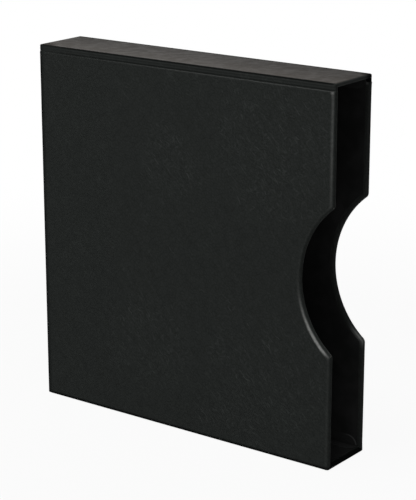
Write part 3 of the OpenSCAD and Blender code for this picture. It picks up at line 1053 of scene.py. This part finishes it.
wrapLeather = leatherFinish("wrapLeather", leatherLook, wrapLook)
stripLeather = leatherFinish("stripLeather", leatherLook, stripLook)
leatherWrap.data.materials.append(wrapLeather)
leatherTopStrip.data.materials.append(stripLeather)
leatherFloorStrip.data.materials.append(wrapLeather)
print("stage: leather")


liningLook = {
    "colour": (0.0260, 0.0264, 0.0264),
    "fibres": 1.7,             # noise of the fibres
    "clouds": 0.05,            # and of large paler and darker clouds
    "tones": (0.8, 1.25),      # in the clouds
    "floorPaintedShade": 0.45,        # painted shade: tone of the lining on the floor against the rest
    "roughness": (0.79, 0.91),
    "gloss": 0.04,
    "fibreDepth": 0.03 * mm,
}


def liningFinish(look):
    finish, tree, shader = newFinish("liningPaper")
    inMm = placeOnCase(tree)[1]
    fibres = noiseAt(tree, inMm, look["fibres"], 5.0, 0.65)
    clouds = noiseAt(tree, inMm, look["clouds"], 2.0)
    shade = maths(tree, "MULTIPLY", spread(tree, clouds, 0.3, 0.7, *look["tones"]),
                  paintedShadeOnFloor(tree, look["floorPaintedShade"]))
    setInputs(tree, shader, {
        "Base Color": scaled(tree, look["colour"], shade),
        "Roughness": spread(tree, fibres, 0.3, 0.7, *look["roughness"]),
        "Specular IOR Level": look["gloss"],
        "Normal": addBump(tree, look["fibreDepth"], fibres),
    })
    return finish


tapeLook = {
    "colour": (0.028, 0.0284, 0.0284),
    "threads": 0.45,           # spacing of the threads, in millimetres
    "tones": (0.6, 1.2),       # between the threads and on them
    "threadDepth": 0.06 * mm,
    "roughness": 0.7,
    "gloss": 0.12,
    "tapeEndHighlightStrength": 2.0,          # how much the painted highlight brightens the tape's round end
    "tapeEndHighlight": (1.5 * mm, 0.45 * mm),  # it begins this far from the edge, and is full from here on
    "tapeEndHighlightFrom": (-5 * mm, 4 * mm),  # it grows over this stretch about the start of the round end
    "aboveFloor": 1 * mm,      # the edge that lies on the floor gets no painted highlight
    "floorPaintedShade": 0.45,        # painted shade: the cloth there is darker
}


def paintedTapeEndHighlight(tree, place, look):
    # Painted highlight round the ends of the two tapes along the floor, where they rise on the walls
    low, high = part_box("far_bottom_tape")
    leg = high.z - low.z
    x, y, z = addNode(tree, "SeparateXYZ", {0: place}).outputs
    toEnd = maths(tree, "SUBTRACT", x, high.x - leg)
    height = maths(tree, "SUBTRACT", z, low.z)
    reach = addNode(tree, "CombineXYZ", {0: maths(tree, "MAXIMUM", toEnd, 0.0), 1: height}).outputs[0]
    toEdge = maths(tree, "SUBTRACT", leg, lengthOf(tree, reach))
    tapeEndHighlight = maths(tree, "MULTIPLY", spread(tree, toEdge, *look["tapeEndHighlight"]),
                   spread(tree, toEnd, *look["tapeEndHighlightFrom"]))
    onWall = maths(tree, "COMPARE", height, leg, leg - look["aboveFloor"])
    return maths(tree, "MULTIPLY_ADD", maths(tree, "MULTIPLY", tapeEndHighlight, onWall), look["tapeEndHighlightStrength"], 1.0)


def tapeFinish(look):
    finish, tree, shader = newFinish("clothTape")
    place, inMm = placeOnCase(tree)
    waves = []
    wavesPerUnit = 3.2
    for direction in ("X", "Y", "Z"):
        threads = {"Vector": inMm, "Scale": 1 / look["threads"] / wavesPerUnit, "Distortion": 0.6,
                   "Detail": 1.0, "Detail Scale": 0.4}
        waves.append(addNode(tree, "TexWave", threads, bands_direction=direction).outputs["Fac"])
    weave = greatest(tree, waves)
    shade = maths(tree, "MULTIPLY", spread(tree, weave, 0.3, 1.0, *look["tones"]),
                  paintedTapeEndHighlight(tree, place, look))
    shade = maths(tree, "MULTIPLY", shade, paintedShadeOnFloor(tree, look["floorPaintedShade"]))
    setInputs(tree, shader, {
        "Base Color": scaled(tree, look["colour"], shade),
        "Roughness": look["roughness"],
        "Specular IOR Level": look["gloss"],
        "Normal": addBump(tree, look["threadDepth"], weave),
    })
    return finish


boardLook = {
    "pale": (0.30, 0.28, 0.24, 1),
    "dark": (0.17, 0.155, 0.13, 1),
    "roughness": (0.92, 0.82),
    "pulp": 0.5,               # noise of the pulp
    "pulpDepth": 0.05 * mm,
}


def boardFinish(name, look):
    finish, tree, shader = newFinish(name)
    inMm = placeOnCase(tree)[1]
    pulp = noiseAt(tree, inMm, look["pulp"], 6.0, 0.7)
    setInputs(tree, shader, {
        "Base Color": blendColour(tree, spread(tree, pulp, 0.35, 0.65), look["dark"], look["pale"]),
        "Roughness": spread(tree, pulp, 0.3, 0.7, *look["roughness"]),
        "Normal": addBump(tree, look["pulpDepth"], pulp),
    })
    return finish


baseLook = {
    "colour": (0.010, 0.010, 0.010),
    "tones": (0.7, 1.15),      # in the grooves of the embossing and on its heights
    "roughness": (0.78, 0.66),
    "cells": 1.1,              # cells of the embossing per millimetre
    "embossDepth": 0.04 * mm,
}


def baseFinish(look):
    finish, tree, shader = newFinish("basePaper")
    inMm = placeOnCase(tree)[1]
    cells = addNode(tree, "TexVoronoi", {"Vector": inMm, "Scale": look["cells"]}, feature="DISTANCE_TO_EDGE")
    emboss = spread(tree, cells.outputs["Distance"], 0.0, 0.25)
    setInputs(tree, shader, {
        "Base Color": scaled(tree, look["colour"], spread(tree, emboss, 0.0, 1.0, *look["tones"])),
        "Roughness": spread(tree, emboss, 0.0, 1.0, *look["roughness"]),
        "Normal": addBump(tree, look["embossDepth"], emboss),
    })
    return finish


nodeFinishes = {
    "greyboard": boardFinish("greyBoard", boardLook),
    "filler_card": boardFinish("fillerCard", boardLook),
    "lining": liningFinish(liningLook),
    "corner_tape": tapeFinish(tapeLook),
    "base_sheet": baseFinish(baseLook),
    "wrap": wrapLeather,
    "strip": stripLeather,
}
for part in frame["record"]["subparts"]:
    mesh = frame["nodes"][part["node"]].data
    mesh.materials.clear()
    mesh.materials.append(nodeFinishes[part["material_slot"]])
print("stage: other finishes")


# Floor, light and background
stageLook = {
    "floorRings": (0.5, 1.5, 4, 12),  # radii of the rings of faces
    "floorSides": 96,
    "floorColour": (0.50, 0.50, 0.50, 1),
    "floorGlow": 0.94,         # share of plain white in what the camera sees of the floor
    "shadowReach": (0.30, 0.9),
    "skyLight": 0.13,          # what the surroundings give as light
    "softboxes": {
        "overhead": {"place": (0, -0.30, 1.45), "target": (0, 0, 0.1), "size": (0.50, 0.40), "power": 11},
        "key": {"place": (-0.12, -1.52, 0.50), "target": (0, 0, 0.14), "size": (0.3, 0.3), "power": 5.2},
        "fill": {"place": (-0.95, 1.05, 1.50), "target": (0, 0, 0.16), "size": (0.6, 0.6), "power": 4.5},
    },
}


def makeFloor(look):
    sides, radii = look["floorSides"], look["floorRings"]
    turns = [2 * math.pi * k / sides for k in range(sides)]
    verts = [(r * math.cos(turn), r * math.sin(turn), 0) for r in radii for turn in turns]
    faces = [list(range(sides))]
    for inner in range(0, (len(radii) - 1) * sides, sides):
        for j in range(sides):
            after = (j + 1) % sides
            faces.append([inner + j, inner + sides + j, inner + sides + after, inner + after])
    mesh = bpy.data.meshes.new("floor")
    mesh.from_pydata(verts, [], faces)
    mesh.update()
    floor = putInScene("floor", mesh)
    finish = bpy.data.materials.new("paleFloor")
    tree, output = emptyTree(finish, "Material")
    matt = addNode(tree, "BsdfDiffuse", {"Color": look["floorColour"]}).outputs[0]
    white = addNode(tree, "Emission", {"Color": (1, 1, 1, 1), "Strength": 1.0}).outputs[0]
    away = lengthOf(tree, addNode(tree, "TexCoord").outputs["Object"])
    glow = spread(tree, away, *look["shadowReach"], look["floorGlow"], 1.0)
    share = maths(tree, "MULTIPLY", seenShare(tree), glow)
    mixed = addNode(tree, "MixShader", {0: share, 1: matt, 2: white}).outputs[0]
    tree.links.new(mixed, output.inputs["Surface"])
    mesh.materials.append(finish)


def seenShare(tree):
    # 1 for what the camera sees itself, in gloss or through glass, and 0 for light on the case
    path = addNode(tree, "LightPath").outputs
    seen = maths(tree, "ADD", path["Is Camera Ray"], path["Is Glossy Ray"])
    total = addNode(tree, "Math", {0: seen, 1: path["Is Transmission Ray"]}, operation="ADD", use_clamp=True)
    return total.outputs[0]


def makeSky(look):
    sky = bpy.data.worlds.new("softSky")
    tree, output = emptyTree(sky, "World")
    strength = addNode(tree, "Mix", {0: seenShare(tree), 2: look["skyLight"], 3: 1.0},
                       data_type="FLOAT").outputs[0]
    glow = addNode(tree, "Background", {"Color": (1, 1, 1, 1), "Strength": strength}).outputs[0]
    tree.links.new(glow, output.inputs["Surface"])
    bpy.context.scene.world = sky


def makeSoftboxes(look):
    for name, box in look["softboxes"].items():
        data = bpy.data.lights.new(name, "AREA")
        data.shape = "RECTANGLE"
        data.size, data.size_y = box["size"]
        data.energy = box["power"]
        lamp = putInScene(name, data)
        lamp.location = box["place"]
        aim = Vector(box["target"]) - Vector(box["place"])
        lamp.rotation_euler = aim.to_track_quat("-Z", "Y").to_euler()


makeFloor(stageLook)
makeSky(stageLook)
makeSoftboxes(stageLook)
bpy.context.scene.view_settings.view_transform = "Standard"
print("stage: floor and light")
